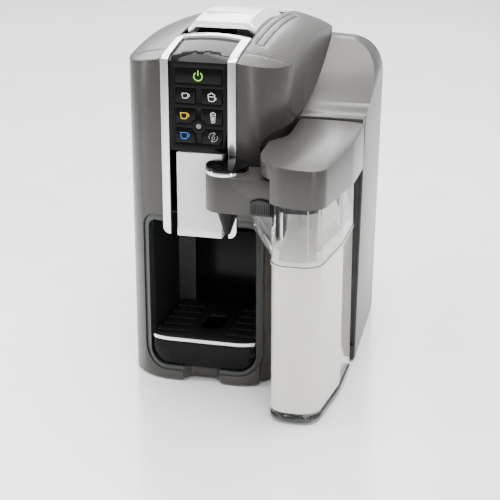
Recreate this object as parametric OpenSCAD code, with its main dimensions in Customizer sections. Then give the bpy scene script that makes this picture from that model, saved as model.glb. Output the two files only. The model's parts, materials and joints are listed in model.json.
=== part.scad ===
// Pod coffee machine with a slide-in milk carafe.
// The origin is on the surface it stands on, at the middle of its width and depth.
// X runs to the right, Y to the back and Z up.

/* [Casing] */
// Overall width, from the left wall to the right side of the milk lid
overall_w = 196; // [185:1:240]
// Width of the raised block that carries the control panel
block_w = 139; // [130:1:160]
// Height of the block at the middle of its domed top
crown_h = 299; // [280:1:345]
// Depth of the casing, from the front face to the rear cover
body_d = 225; // [215:1:270]
// Wall of the casing shells
wall = 2.5; // [1.8:0.1:3.2]
// Radius of the block's two front corners, seen from above
front_r = 42; // [30:1:44]
// Radius of the dome across the block
dome_across_r = 160; // [140:5:260]
// Radius of the dome from front to back
dome_along_r = 560; // [400:10:900]
// Outward lean of the right wall, in degrees
wall_lean = 1; // [0:0.25:2]
// Radius of the shoulder between the right wall and the arch
shoulder_r = 34; // [24:1:40]
// Radius of the scoop that sweeps from the shelf up to the arch
scoop_r = 300; // [250:10:400]
// Height of the shelf over the milk lid, at its front edge
shelf_h = 226; // [215:1:235]

/* [Front] */
// Width of the chrome frame around the control panel
frame_w = 63; // [58:1:66]
// Width of each leg of the chrome frame
frame_leg = 6.5; // [4:0.5:8]
// Height of the lower end of the chrome frame
frame_bottom = 136; // [130:1:150]
// Width of the cup space, inside its bezel
cavity_w = 94; // [90:1:98]
// Height of the top of the cup space
cavity_top = 146; // [140:1:150]
// Height of the cup space's lower edge
cavity_bottom = 13.4; // [12:0.2:16]
// Width of the bezel around the cup space
bezel_w = 5.2; // [3:0.2:6]
// Depth of the cup space behind the front face
cavity_d = 95; // [90:1:100]
// Width of the finger notch in the front of the base
notch_w = 34; // [24:1:40]

/* [Buttons] */
// Height of each small button
button_h = 12; // [9:0.5:13]
// Width of each small button
button_w = 17.2; // [14:0.2:18]
// Distance between the rows of buttons
button_pitch = 16.7; // [15:0.1:18]
// Gap round each button
button_gap = 0.35; // [0.2:0.05:0.6]
// Travel of each button
button_travel = 1.2; // [0.6:0.1:1.5]
// Radius of the round boss in the middle of the four lower buttons
boss_r = 6.6; // [5:0.2:8]

/* [Tray and bin] */
// Height of the tray's top
tray_h = 39.6; // [34:0.2:44]
// Wall of the tray and the bin
tray_wall = 2; // [1.4:0.1:3]
// Height of the used-capsule bin
bin_h = 110; // [90:1:111]
// Width of the used-capsule bin
bin_w = 60; // [50:1:61]
// Gap between a sliding part and what it slides in
slide_gap = 0.5; // [0.3:0.1:1]

/* [Lever] */
// Width of the lever
lever_w = 59; // [50:1:60]
// Thickness of the lever's plate
lever_t = 4.5; // [3:0.5:6]
// Radius of the lever's arched top
lever_r = 230; // [200:10:300]
// Radius of the hinge pin
pin_r = 3; // [2:0.5:4]
// Running fit on the hinge pin, on the radius
pin_fit = 0.05; // [0.02:0.01:0.1]

/* [Milk carafe] */
// How far the lid stands in front of the casing
lid_out = 63; // [50:1:70]
// Wall of the clear jug
jug_wall = 2.2; // [1.6:0.1:3]
// Height of the jug's rim
jug_top = 186; // [178:1:190]
// Height of the jug's underside over the table
jug_bottom = 3; // [2:0.5:6]
// Height of the lower edge of the lid's side wall
lid_bottom = 186.5; // [178.5:0.5:190.5]
// Height of the lid's top at its front edge
lid_front_h = 218; // [210:1:222]
// Radius of the round end of the spout arm
arm_r = 17.5; // [14:0.5:18]
// Height of the top of the spout arm
arm_top = 200; // [196:1:204]
// Height of the underside of the spout arm
arm_bottom = 170; // [166:1:176]

/* [Water tank] */
// Depth of the water tank
tank_d = 85; // [60:1:100]
// Height of the water tank's rim
tank_h = 228; // [180:1:236]
// Wall of the water tank
tank_wall = 2.2; // [1.6:0.1:3]
// Gap between the rear cover and the tank
tank_gap = 3; // [1:0.5:5]

/* [Hidden] */
$fn = 96;
gap = 0.3;                       // between neighbouring fixed pieces
far = 500;                       // longer than the machine, for cutting boxes

// casing
x_l = -overall_w / 2;            // left wall
x_r = x_l + block_w;             // right side of the raised block
px = (x_l + x_r) / 2;            // middle of the block and of the control panel
y_f = lid_out - (lid_out + body_d + tank_gap + tank_d) / 2; // front face
y_r = y_f + body_d;              // rear cover
rear_r = 18;                     // rear corners, seen from above
shell_z = 2;                     // lower edge of the shells
dome_y = y_f + 115;              // where the dome is highest
bevel = 7;                       // depth of the bevel over the front face
bevel_drop = 5;                  // how far that bevel comes down
channel_w = frame_w + 0.6;       // channel for the frame and the lever
seam_mid_y = y_f + 21;           // front shell's seam beside the frame
seam_side_y = y_f + 34;          // and at the block's sides
band_y = y_f + 52;               // rear edge of the chrome frame

// right side
x_w = overall_w / 2 - 2.5;       // right wall at shelf height
wall_front_y = y_f + 79;         // front edge of the right wall
shelf_front_y = y_f + 69;        // front edge of the shelf
shelf_lip = 9;                   // thickness of the shelf's overhang
wall_taper = 7;                  // how much narrower the back is
arch_h = shelf_h + 41;           // height of the arch beside the block
nest = 5;                        // recess in the block beside the carafe
nest_x = px + frame_w / 2 + 18;
nest_h = shelf_h + 4;

// front
panel_bottom = frame_bottom + 72.5;
panel_y = y_f + 0.6;             // face of the control panel
panel_t = 2.4;
power_w = 2 * button_w + 5;
row_top = crown_h - 38;          // top of the first row of small buttons
led_z = row_top - 1.5 * button_pitch - button_h / 2;
cover_w = 38.4;                  // spout cover
cover_bottom = frame_bottom - 1;
cover_top = panel_bottom - 1.5;

// lever
lever_z = crown_h + 5;           // highest point of the lever
lever_y = y_f + 110;             // where that is
lever_front = y_f + 73;          // its front edge
lever_flat = lever_w / 2 - 6;    // half width of its flat middle
lever_drop = 6.5;                // how far its shoulders fall away
pin_y = y_f + 185;
pin_z = crown_h - 19;
lever_back = pin_y + 14.5;       // its rear edge
tail_z = lever_z - lever_r + sqrt(pow(lever_r, 2) - pow(lever_back - lever_y, 2));
cover_y = pin_y + norm([lever_back - pin_y, tail_z - pin_z]) + 0.5; // clears the tail's swing
well_z = crown_h - 38;           // floor of the well under the lever

// brewing
brew_z = crown_h - 92;           // axis of the capsule and the piston
brew_floor = cavity_top + 4.4;   // underside of the brewing frame
holder_y = y_f + 41;             // face where the capsule is clamped
deck_z = bin_h + 4;
piston_travel = 24;
slot_y0 = holder_y + 14;         // slot the capsule drops through
slot_y1 = slot_y0 + piston_travel + 1;

// tray
tray_w = cavity_w - 2 * slide_gap - 0.4;
tray_y = y_f + 3;                // front of the tray
tray_back = y_f + cavity_d - 4;
bin_back = y_r - 38;
tray_z = cavity_bottom + 0.4;
grate_t = 3;

// carafe
carafe_x = x_r + 2.5;            // left side of the jug
jug_r_x = overall_w / 2 - 7;     // right side of the jug
lid_r_x = overall_w / 2;
lid_y0 = y_f - lid_out;          // front of the lid
lid_y1 = shelf_front_y - 5;      // back of the lid
arm_x = px + 29.4;               // middle of the arm's round end
arm_y = y_f - arm_r - 3.2;
arm_seam = carafe_x - 0.1;       // where the arm meets the lid
arm_under = arm_top + 6;         // lid's underside over the arm
port_x = (carafe_x + jug_r_x) / 2;
port_z = jug_top + 14;
port_r = 7;

// tank
tank_x0 = x_l + 10;
tank_x1 = x_r + 17;
tank_y0 = y_r + tank_gap;
tank_y1 = tank_y0 + tank_d;
dock_h = 20;
hinge_y = tank_y1 - 9;           // axis of the tank lid
hinge_z = tank_h + 1.8;
hinge_r = 2.6;                   // knuckles
lid_tail = 3;                    // how far the lid reaches behind its axis
lid_tail_r = norm([lid_tail, hinge_z - tank_h - gap]) + 0.4;
strip_y = hinge_y + 3.9;         // fixed strip behind the lid
hinge_x = [tank_x0 + 32, tank_x1 - 32];
ear_w = 5;
valve_x = (tank_x0 + tank_x1) / 2;
valve_y = tank_y0 + 30;

// ---- outline helpers ----

function unit(v) = v / norm(v);

// points of the arc that rounds the corner at b, between a and c
function corner(a, b, c, r, n = 10) =
    let (u = unit(a - b), v = unit(c - b), half = acos(max(-1, min(1, u * v))) / 2,
         m = b + unit(u + v) * r / sin(half), s = b + u * r / tan(half) - m,
         e = b + v * r / tan(half) - m, a0 = atan2(s[1], s[0]),
         turn = (atan2(e[1], e[0]) - a0 + 540) % 360 - 180)
    [for (i = [0:n]) m + r * [cos(a0 + turn * i / n), sin(a0 + turn * i / n)]];

// closed outline of corners given as [x, y, radius]
function rounded(p, n = 10) =
    let (k = len(p))
    [for (i = [0:k - 1])
        let (a = p[(i + k - 1) % k], b = p[i], c = p[(i + 1) % k])
        each (b[2] > 0 ? corner([a[0], a[1]], [b[0], b[1]], [c[0], c[1]], b[2], n)
                       : [[b[0], b[1]]])];

module box(x0, x1, y0, y1, z0, z1) {
    translate([x0, y0, z0]) cube([x1 - x0, y1 - y0, z1 - z0]);
}

// outline in X and Z, run along Y
module along_y(y0, y1) {
    translate([0, y1, 0]) rotate([90, 0, 0]) linear_extrude(y1 - y0) children();
}

// outline in Y and Z, run along X
module along_x(x0, x1) {
    translate([x0, 0, 0]) rotate([90, 0, 90]) linear_extrude(x1 - x0) children();
}

module rod_x(x0, x1, y, z, r) {
    translate([x0, y, z]) rotate([0, 90, 0]) cylinder(r = r, h = x1 - x0);
}

module rod_y(x, y0, y1, z, r) {
    translate([x, y0, z]) rotate([-90, 0, 0]) cylinder(r = r, h = y1 - y0);
}

module rod_z(x, y, z0, z1, r) {
    translate([x, y, z0]) cylinder(r = r, h = z1 - z0);
}

// rectangle with true round corners
module round_rect(x0, x1, y0, y1, r) {
    translate([x0 + r, y0]) square([x1 - x0 - 2 * r, y1 - y0]);
    translate([x0, y0 + r]) square([x1 - x0, y1 - y0 - 2 * r]);
    for (x = [x0 + r, x1 - r], y = [y0 + r, y1 - r]) translate([x, y]) circle(r = r);
}

// ---- casing forms: g insets the surface ----

module block_plan(g) {
    translate([x_l + g, y_f + front_r]) square([block_w - 2 * g, body_d - front_r - rear_r]);
    translate([x_l + front_r, y_f + g]) square([block_w - 2 * front_r, body_d / 2]);
    translate([x_l + rear_r, y_f + front_r])
        square([block_w - 2 * rear_r, body_d - front_r - g]);
    for (x = [x_l + front_r, x_r - front_r])
        translate([x, y_f + front_r]) circle(r = front_r - g);
    for (x = [x_l + rear_r, x_r - rear_r])
        translate([x, y_r - rear_r]) circle(r = rear_r - g);
}

module dome(g) {
    sweep = 34;
    translate([px, dome_y, crown_h - dome_along_r]) rotate([0, 90, 0])
        rotate([0, 0, 180 - sweep / 2]) rotate_extrude(angle = sweep)
        translate([dome_along_r - dome_across_r, 0]) intersection() {
            circle(r = dome_across_r - g);
            translate([dome_across_r - 80, -block_w]) square([200, 2 * block_w]);
        }
}

module block_form(g, z0 = shell_z) {
    top = crown_h - 45;
    intersection() {
        translate([0, 0, z0]) linear_extrude(far) block_plan(g);
        union() {
            dome(g);
            box(-far, far, -far, far, -10, top);
        }
        along_x(-far / 2, far / 2) polygon([
            [y_f + g, -10], [y_f + g, crown_h - 10.5 - bevel_drop - g],
            [y_f + g + bevel, crown_h - 10.5 - g], [y_f + g + bevel, crown_h + 20],
            [y_r + 20, crown_h + 20], [y_r + 20, -10]]);
    }
}

module right_wall_plan(front, g) {
    polygon(rounded([
        [px, front, 0], [x_w - g, front, 0],
        [x_w - g - wall_taper, y_r - g, rear_r - g / 2], [px, y_r - g, 0]]));
}

module right_wall(front, g) {
    translate([x_w, 0, shelf_h]) rotate([0, wall_lean, 0]) translate([-x_w, 0, -shelf_h - 20])
        linear_extrude(far) right_wall_plan(front, g);
}

// outline of the arch, run along the tapering right wall
module arch_form(g) {
    taper = atan(wall_taper / (y_r - wall_front_y));
    top = arch_h - g;
    inner = -wall_taper - far / 4;
    translate([x_w, wall_front_y, 0]) rotate([0, 0, taper]) along_y(-far / 2, far / 2)
        polygon(rounded([
            [inner, -10, 0], [20, -10, 0], [20, arch_h - shoulder_r - 3, 0],
            [-g, arch_h - shoulder_r - 3, 0], [-g, top - 3, shoulder_r - g - 1],
            [x_r - x_w, top, 60], [inner, top, 0]], 16));
}

// the space over the shelf, a cylinder that lies across
module scoop(g) {
    start = 3;
    rod_x(px, far, shelf_front_y + g - scoop_r * sin(start),
          shelf_h + scoop_r * cos(start), scoop_r + g);
    box(px, far, -far, shelf_front_y - 8, shelf_h - g, far);
}

module right_form(g) {
    difference() {
        intersection() {
            union() {
                right_wall(wall_front_y - (g > 0 ? 1 : 0), g);
                if (g == 0) intersection() {
                    right_wall(shelf_front_y, g);
                    box(px, far, -far, far, shelf_h - shelf_lip, far);
                }
            }
            arch_form(g);
            box(-far, far, -far, far, shell_z, far);
        }
        scoop(g);
    }
}

// recess in the block's right side, where the carafe stands
module nest_zone(g) {
    difference() {
        along_y(-far, wall_front_y + g) polygon(rounded([
            [nest_x - g, -10, 0], [far, -10, 0], [far, nest_h + g, 0], [x_r + 4, nest_h + g, 0],
            [nest_x - g, nest_h - 9 + g, 14]]));
        block_form(nest + g, -20);
    }
}

module casing_form(g) {
    difference() {
        block_form(g, g > 0 ? -5 : shell_z);
        nest_zone(g);
    }
    right_form(g);
}

module front_region(g) {
    linear_extrude(far) polygon([
        [-far, -far], [far, -far], [far, seam_side_y - g], [x_r, seam_side_y - g],
        [px + channel_w / 2, seam_mid_y - g], [px - channel_w / 2, seam_mid_y - g],
        [x_l, seam_side_y - g], [-far, seam_side_y - g]]);
}

// rear opening, which the rear cover fills
module rear_window(g) {
    polygon(rounded([
        [x_l + rear_r + g, 12 + g, 6], [x_w - wall_taper - rear_r - 3 - g, 12 + g, 6],
        [x_w - wall_taper - rear_r - 3 - g, shelf_h - 20, 20],
        [x_r - 8 - g, arch_h - 12 - g, 20], [x_l + rear_r + g, arch_h - 12 - g, 8]]));
}

module cavity_opening(g, y0, y1) {
    x0 = px - cavity_w / 2 - g;
    x1 = px + cavity_w / 2 + g;
    z0 = cavity_bottom - g * 0.75;
    z1 = cavity_top + g;
    along_y(y0, y1) polygon(rounded([
        [x0, z0, 15 + g], [x1, z0, 15 + g], [x1, z1, 8 + g], [x0, z1, 8 + g]]));
}

module front_shell() {
    color("#8a8582") difference() {
        intersection() {
            difference() {
                block_form(0);
                nest_zone(0);
            }
            front_region(gap / 2);
        }
        difference() {
            block_form(wall, -5);
            nest_zone(wall);
            box(-far, far, -far, far, -10, cavity_bottom - 3.2);
        }
        box(px - channel_w / 2, px + channel_w / 2, -far, far, frame_bottom - gap, far);
        cavity_opening(bezel_w, -far, far);
        finger_notch();
        base_recess();
    }
}

// the base plate runs in under the front shell's floor
module base_recess() {
    box(x_l + 14, x_r - nest - wall - 6, y_f + 20, far, -10, 7);
}

module finger_notch() {
    w = notch_w / 2;
    translate([px, y_f, -10]) linear_extrude(10 + cavity_bottom)
        polygon(rounded([[-w - 6, -9, 0], [w + 6, -9, 0], [w, 0, 4], [w - 6, 10, 6],
                         [-w + 6, 10, 6], [-w, 0, 4]]));
}

module side_cuts() {
    front_region(-gap / 2);
    along_y(y_r - 40, far) rear_window(0);
    box(px - channel_w / 2, px + channel_w / 2, -far, far, 4, far);
}

module left_shell() {
    color("#8a8582") difference() {
        intersection() {
            block_form(0);
            box(-far, px, -far, far, 0, far);
        }
        block_form(wall, -5);
        side_cuts();
        box(px - 30, px + 30, -far, y_r - 30, -5, far);
    }
}

module right_shell() {
    color("#8a8582") difference() {
        intersection() {
            casing_form(0);
            box(px, far, -far, far, 0, far);
        }
        casing_form(wall);
        box(px, px + channel_w / 2, -far, far, -5, far);
        box(px, x_w - 10, -far, y_r - 20, -5, shell_z + wall);
        side_cuts();
        groove();
    }
}

// shallow decorative groove beside the lever
module groove() {
    x = px + channel_w / 2 + 5;
    difference() {
        linear_extrude(far) round_rect(x, x + 7, y_f + 44, y_f + 176, 3.4);
        linear_extrude(far) round_rect(x + 0.8, x + 6.2, y_f + 44.8, y_f + 175.2, 2.6);
        block_form(0.7, -5);
    }
}

module rear_cover() {
    color("#2c2b2b") difference() {
        along_y(y_r - wall, y_r) rear_window(gap);
        for (i = [0:9]) {
            z = 150 + i * 8;
            along_y(y_r - 10, y_r + 10)
                round_rect(px - 40, px + 40, z, z + 3.2, 1.5);
        }
        for (p = screw_points) rod_y(p[0], y_r - 20, y_r + 20, p[1], 1.7);
        for (p = screw_points) rod_y(p[0], y_r - 1.3, y_r + 20, p[1], 3.2);
        inlet_cut(0.3);
        rod_y(valve_x, y_r - 20, y_r + 20, dock_h + 14, 4.2);
    }
}

screw_points = [[x_l + 26, 24], [px - 24, 135], [px + 42, 135], [px + 42, 24],
                [px - 24, 250], [px + 42, 250]];

inlet_x = jug_r_x - 38;
inlet_z = 34;

module inlet_cut(g) {
    along_y(y_r - 10, y_r + 10)
        round_rect(inlet_x - 14 - g, inlet_x + 14 + g, inlet_z - 10 - g, inlet_z + 10 + g, 3);
}

module base_plate() {
    g = wall + 0.4;
    color("#242424") difference() {
        union() {
            intersection() {
                translate([0, 0, shell_z]) linear_extrude(4.7) block_plan(g);
                union() {
                    box(x_l + 14.3, x_r - nest - wall - 6.3, y_f + 20.3, far, 0, 20);
                    box(-far, nest_x, seam_side_y + 1, far, 0, 20);
                    box(-far, x_r - nest - wall - 0.4, seam_side_y + 1, far, 0, 20);
                    box(-far, far, wall_front_y + wall + 0.4, far, 0, 20);
                }
            }
            intersection() {
                right_wall(wall_front_y + 0.4, g);
                box(x_r - 25, far, -far, far, shell_z, shell_z + 4.7);
            }
            intersection() {
                right_wall(wall_front_y - 3, 0.6);
                box(x_r - nest + 1, far, -far, wall_front_y - 0.3, shell_z, 15);
            }
            intersection() {
                right_wall(wall_front_y - 3, g);
                box(x_r - nest + 1, far, -far, wall_front_y + 2, shell_z, shell_z + 4.7);
            }
        }
        for (p = foot_points) rod_z(p[0], p[1], -1, shell_z + 1.5, foot_r + 0.1);
        for (x = [px - 35, px + 33]) box(x - 0.2, x + 2.7, y_f + cavity_d + 2, y_r - 8, 5, 20);
    }
}

foot_r = 9;
foot_points = [[x_l + 28, y_f + 38], [x_r - 34, y_f + 38], [x_l + 24, y_r - 24],
               [x_w - 36, y_r - 24]];

module feet() {
    color("#1c1c1c") for (p = foot_points) difference() {
        union() {
            rod_z(p[0], p[1], 0, shell_z + 1.5, foot_r - 0.4);
            rod_z(p[0], p[1], shell_z, shell_z + 1.5, foot_r);
        }
        rod_z(p[0], p[1], -1, 1, foot_r - 4);
    }
}

// tunnel over the bin, deck for the brewing frame and a frame for the rear cover
module chassis() {
    y0 = y_f + cavity_d + 3;
    color("#3b3b3b") difference() {
        union() {
            translate([0, 0, deck_z]) linear_extrude(3) intersection() {
                block_plan(5);
                translate([-far, y0]) square([far + x_r - nest - 4, y_r - 6 - y0]);
            }
            for (x = [px - 35, px + 33]) box(x, x + 2.5, y0, y_r - 9, 5.2, deck_z + 1);
            box(px - 27, px + 27, y0, y0 + 30, deck_z + 1, brew_floor - 0.2);
            box(px - 34, px + 48, y_r - 10, y_r - 4, deck_z, 256);
            for (p = screw_points) if (p[1] < deck_z)
                box(p[0] - 6, p[0] + 6, y_r - 10, y_r - 4, shell_z + 5, deck_z + 1);
        }
        for (p = screw_points) rod_y(p[0], y_r - 20, y_r, p[1], 1.5);
        box(px - 22, px + 22, y0 + 4, y0 + 26, deck_z - 1, brew_floor - 3);
        box(px - 26, px + 40, y_r - 20, y_r, 145, 240);
    }
}

module cavity_bezel() {
    color("#4a4a4a") difference() {
        intersection() {
            block_form(1);
            cavity_opening(bezel_w - gap, -far, y_f + 18);
        }
        cavity_opening(0, -far, far);
        box(px - channel_w / 2, px + channel_w / 2, -far, far, cavity_top - 10, far);
        finger_notch();
    }
}

module cavity_liner() {
    x0 = px - cavity_w / 2 - 2;
    x1 = px + cavity_w / 2 + 2;
    y0 = y_f + 18.3;
    y1 = y_f + cavity_d;
    z0 = cavity_bottom - 2;
    color("#1d1d1d") difference() {
        box(x0, x1, y0, y1, z0, cavity_top + 4);
        box(x0 + 2, x1 - 2, y0 - 1, y1 - 2, z0 + 2, cavity_top + 2);
        box(px - bin_w / 2 - 1, px + bin_w / 2 + 1, y1 - 5, y1 + 5, z0 + 2, bin_h + 2);
        box(px - 24, px + 24, y0 - 5, y_f + 44, cavity_top, cavity_top + 10);
    }
}

// skin between two depths under the casing surface, over the channel
module channel_skin(g0, g1, w, y1) {
    difference() {
        intersection() {
            block_form(g0, 100);
            box(px - w / 2, px + w / 2, -far, y1, 100, far);
        }
        block_form(g1, -5);
    }
}

module chrome_frame() {
    w = frame_w / 2;
    leg = frame_leg;
    color("#e4e4e6") difference() {
        intersection() {
            channel_skin(-1.3, wall, frame_w, band_y);
            along_y(-far, far) polygon(rounded([
                [px - w, frame_bottom, 6], [px + w, frame_bottom, 6],
                [px + w, far, 0], [px - w, far, 0]]));
        }
        box(px - w + leg, px + w - leg, -far, band_y - 7, 100, far);
    }
}

module control_panel() {
    w = frame_w / 2 - frame_leg - 0.2;
    color("#1b191a") difference() {
        intersection() {
            channel_skin(panel_y - y_f, panel_y - y_f + panel_t, 2 * w, band_y - 7.2);
            box(-far, far, -far, far, panel_bottom, far);
        }
        for (i = [0:6]) button_shape(i, button_gap, panel_y - 5, panel_y + 10);
        rod_y(px, panel_y - 5, panel_y + 10, led_z, 2.15);
    }
    color("#262525") difference() {
        rod_y(px, panel_y - 0.5, panel_y, led_z, boss_r - 0.6);
        rod_y(px, panel_y - 5, panel_y + 10, led_z, 2.15);
    }
}

// button 0 is the wide one, then left and right in three rows
module button_shape(i, g, y0, y1) {
    row = floor((i - 1) / 2);
    side = i % 2 == 1 ? -1 : 1;
    cx = i == 0 ? px : px + side * (button_w / 2 + 2.5);
    top = i == 0 ? row_top + button_h + 4.5 : row_top - row * button_pitch;
    w = (i == 0 ? power_w : button_w) / 2 + g;
    difference() {
        along_y(y0, y1) round_rect(cx - w, cx + w, top - button_h - g, top + g, 1.2);
        if (i > 2) rod_y(px, y0 - 1, y1 + 1, led_z, boss_r - g);
    }
}

module button(i) {
    color("#242223") union() {
        button_shape(i, 0, panel_y - 0.9, panel_y + panel_t);
        cx = i == 0 ? px : px + (i % 2 == 1 ? -1 : 1) * (button_w / 2 + 3.5);
        top = i == 0 ? row_top + button_h + 4.5 : row_top - floor((i - 1) / 2) * button_pitch;
        rod_y(cx, panel_y + panel_t - 0.2, panel_y + panel_t + 2, top - button_h / 2, 2);
    }
}

module button_power() { button(0); }
module button_espresso() { button(1); }
module button_cappuccino() { button(2); }
module button_coffee() { button(3); }
module button_latte() { button(4); }
module button_lungo() { button(5); }
module button_clean() { button(6); }

module status_led() {
    color("#b9b9b6") union() {
        rod_y(px, panel_y - 0.9, panel_y + panel_t + 1, led_z, 2.1);
        rod_y(px, panel_y + panel_t + 0.05, panel_y + panel_t + 1, led_z, 2.6);
    }
}

module control_board() {
    y0 = panel_y + panel_t + 2 + button_travel + 0.4;
    color("#2f6b3a") union() {
        box(px - 22, px + 22, y0 + 1.6, y0 + 3.2, panel_bottom + 4, crown_h - 18);
        for (i = [0:6]) {
            cx = i == 0 ? px : px + (i % 2 == 1 ? -1 : 1) * (button_w / 2 + 3.5);
            top = i == 0 ? row_top + button_h + 4.5
                         : row_top - floor((i - 1) / 2) * button_pitch;
            z = top - button_h / 2;
            box(cx - 3, cx + 3, y0, y0 + 1.7, z - 3, z + 3);
        }
        rod_y(px, panel_y + panel_t + 1.1, y0 + 1.7, led_z, 1.5);
    }
}

module spout_cover() {
    w = cover_w / 2;
    step = cover_bottom + 7;
    color("#dfe0e1") difference() {
        union() {
            box(px - w, px + w, y_f - 0.4, y_f + 13, step, cover_top);
            box(px - w, px + w, y_f - 1.4, y_f + 13, cover_bottom, step + 0.01);
        }
        box(px - w + 1.8, px + w - 1.8, y_f + 1.6, y_f + 20, cover_bottom - 1, cover_top - 1.8);
    }
}

// outlet block with two short tubes, which hangs from the brewing frame
module coffee_spout() {
    z1 = brew_floor + 20;
    color("#1a1a1a") difference() {
        union() {
            box(px - 15, px + 15, y_f + 2.2, y_f + 12, z1 - 16, z1);
            box(px - 8, px + 8, y_f + 11, y_f + 26.5, z1 - 9, z1);
            for (x = [px - 9, px + 9]) rod_z(x, y_f + 7, cover_bottom + 2, z1 - 15, 3.6);
        }
        for (x = [px - 9, px + 9]) rod_z(x, y_f + 7, cover_bottom, z1 - 6, 2.2);
        rod_x(px - 9, px + 9, y_f + 7, z1 - 7.5, 2.2);
        rod_y(px, y_f + 7, y_f + 40, z1 - 5, 2.2);
    }
}

// ring sector about the lever's arch: outline in radius and X, from y0 to y1
module lever_ring(y0, y1) {
    a0 = asin((y0 - lever_y) / lever_r);
    a1 = asin((y1 - lever_y) / lever_r);
    translate([px, lever_y, lever_z - lever_r]) rotate([0, 90, 0])
        rotate([0, 0, 180 - a1]) rotate_extrude(angle = a1 - a0, $fn = 180) children();
}

module lever() {
    w = lever_w / 2;
    arm = 4;
    r = lever_r;
    color("#d5d6d8") difference() {
        union() {
            lever_ring(lever_front, lever_back) polygon([
                [r, -lever_flat], [r, lever_flat], [r - lever_drop, w],
                [r - lever_drop - 3, w], [r - lever_t, lever_flat - 1],
                [r - lever_t, 1 - lever_flat], [r - lever_drop - 3, -w], [r - lever_drop, -w]]);
            for (x = [-w, w - arm]) {
                lever_ring(lever_front + 6, pin_y - 9)
                    translate([r - 13, x]) square([13 - lever_drop - 2, arm]);
                along_x(px + x + 0.2, px + x + arm - 0.2) polygon([
                    [pin_y - 16, pin_z + 4], [pin_y - 7, pin_z - 5], [pin_y - 3, pin_z - 6.5],
                    [pin_y + 3, pin_z - 6.5], [pin_y + 6.5, pin_z - 3], [pin_y + 6.5, tail_z - 5],
                    [pin_y - 16, lever_z - lever_drop - 9.5]]);
            }
        }
        rod_x(px - w - 1, px + w + 1, pin_y, pin_z, pin_r + pin_fit);
        grip_pocket(0);
    }
}

// brushed inlay behind the lever's front lip
module grip_pocket(g) {
    half = lever_flat - 3 - g;
    lever_ring(lever_front + 4 + g, lever_front + 33 - g)
        translate([lever_r - 1.2, -half]) square([1.2 + (g > 0 ? 0 : 1), 2 * half]);
}

module lever_grip() {
    color("#e9e9ea") grip_pocket(0.15);
}

module lever_pin() {
    color("#b8b8ba") difference() {
        rod_x(px - lever_w / 2, px + lever_w / 2, pin_y, pin_z, pin_r);
        for (s = [-1, 1]) rod_x(px + s * lever_w / 2 - 0.8, px + s * lever_w / 2 + 0.8,
                                pin_y, pin_z, 1);
    }
}

// well under the lever, with the slot for the capsule
module lever_well() {
    w = frame_w / 2 - 0.2;
    y0 = band_y + 0.4;
    y1 = cover_y + 3;
    ear = lever_flat - 2;
    color("#161616") difference() {
        union() {
            box(px - w, px + w, y0, y1, well_z, well_z + 2.5);
            box(px - w, px + w, y0, y0 + 2.2, well_z, crown_h - 14);
            for (x = [px - ear, px + ear - 5]) along_x(x, x + 5) {
                translate([pin_y, pin_z]) circle(r = pin_r + 2);
                translate([pin_y - pin_r - 2, well_z + 1])
                    square([2 * pin_r + 4, pin_z - well_z - 1]);
            }
            difference() {
                box(px - 23, px + 23, slot_y0 - 2, slot_y1 + 2, brew_z + 24, well_z + 2);
                box(px - 21, px + 21, slot_y0, slot_y1, brew_z + 20, well_z + 5);
            }
        }
        box(px - 20.5, px + 20.5, slot_y0 + 0.5, slot_y1 - 0.5, well_z - 1, well_z + 5);
        rod_x(px - 40, px + 40, pin_y, pin_z, pin_r);
    }
}

module top_cover() {
    w = frame_w / 2 - 0.2;
    color("#d5d6d8") difference() {
        intersection() {
            block_form(0);
            box(px - w, px + w, cover_y, y_r, arch_h - 11.6, far);
        }
        block_form(wall, -5);
    }
}

module brew_frame() {
    y0 = y_f + 27;
    y1 = y_f + 123;
    z1 = brew_z + 23.5;
    color("#2a2a2c") difference() {
        box(px - 27, px + 27, y0, y1, brew_floor, z1);
        box(px - 22.5, px + 22.5, y0 + 14.3, y1 - 5, brew_floor + 4, z1 + 1);
        rod_y(px, y0 - 1, y0 + 20, brew_z, 15);
        box(px - 19, px + 19, y0 + 20, y0 + 50, brew_floor - 1, brew_floor + 5);
        rod_y(px, y1 - 10, y1 + 5, brew_z, 6.05);
    }
}

module capsule_holder() {
    y0 = y_f + 27;
    color("#5a5a5c") difference() {
        union() {
            rod_y(px, y0 - 6, y0 + 1, brew_z, 14.8);
            rod_y(px, y0 + 14.5, holder_y + 14, brew_z, 21.5);
            rod_y(px, y0 + 0.5, y0 + 15, brew_z, 14.8);
        }
        rod_y(px, holder_y + 1.5, holder_y + 20, brew_z, 18.5);
        rod_y(px, y0 - 10, holder_y + 2, brew_z, 2);
        rod_z(px, y0 - 3, brew_z - 20, brew_z, 2);
    }
}

module brew_piston() {
    y0 = holder_y + 14.6;
    color("#77777a") difference() {
        union() {
            rod_y(px, y0, y0 + 16, brew_z, 21.5);
            rod_y(px, y0 + 15, y_f + 123 + 16, brew_z, 6);
        }
        rod_y(px, y0 - 1, y_f + 160, brew_z, 1.6);
        rod_x(px - 10, px + 10, y_f + 123 + 10, brew_z, 2);
    }
}

// ---- drip tray ----

module tray_plan(g, back) {
    intersection() {
        block_plan(tray_y - y_f + g);
        translate([px - tray_w / 2 + g, -far]) square([tray_w - 2 * g, far + back]);
    }
}

module drip_tray() {
    z1 = tray_h - 3.6;
    color("#141414") difference() {
        intersection() {
            translate([0, 0, tray_z]) linear_extrude(z1 - tray_z) tray_plan(0, tray_back);
            cavity_opening(-slide_gap - 0.1, -far, far);
        }
        intersection() {
            translate([0, 0, tray_z + tray_wall]) linear_extrude(far)
                tray_plan(tray_wall, tray_back - tray_wall);
            cavity_opening(-slide_gap - tray_wall, -far, far);
        }
    }
}

module tray_trim() {
    color("#d8d8da") translate([0, 0, tray_h - 3.5]) linear_extrude(3.5) difference() {
        tray_plan(0, y_f + 26);
        tray_plan(2.4, y_f + 40);
    }
}

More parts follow.
